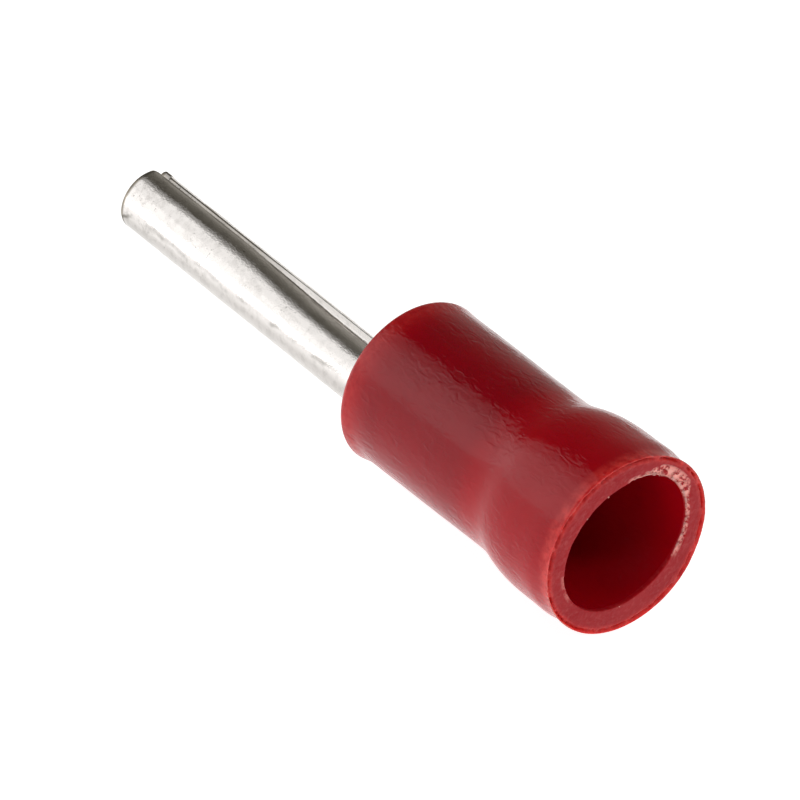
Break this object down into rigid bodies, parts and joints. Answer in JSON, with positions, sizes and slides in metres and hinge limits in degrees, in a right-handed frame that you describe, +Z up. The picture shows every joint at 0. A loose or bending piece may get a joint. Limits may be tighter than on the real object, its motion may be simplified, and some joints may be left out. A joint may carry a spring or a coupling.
{
  "type": "insulated crimp pin terminal",
  "caption": "Crimp pin terminal: a pin and barrel rolled from tinned copper strip in a flared red vinyl sleeve, crimped on a stranded wire so that it enters a screw or push-in clamp.",
  "frame": {"origin": "on the floor under the middle of the part's length, below the sleeve's axis", "axes": "+X along the terminal, out of the wire mouth, with the pin tip at -X; +Z up, the way the rolled seam faces; Y across"},
  "size_m": [0.0212, 0.0056, 0.0057],
  "materials": {
    "tinned_copper": "bright electro-tinned copper strip, slightly smudged",
    "red_vinyl": "satin soft PVC, solid red, slightly translucent at its edges"
  },
  "bodies": {
    "root": {"rolled_terminal": "tinned_copper", "vinyl_sleeve": "red_vinyl"}
  },
  "joints": []
}
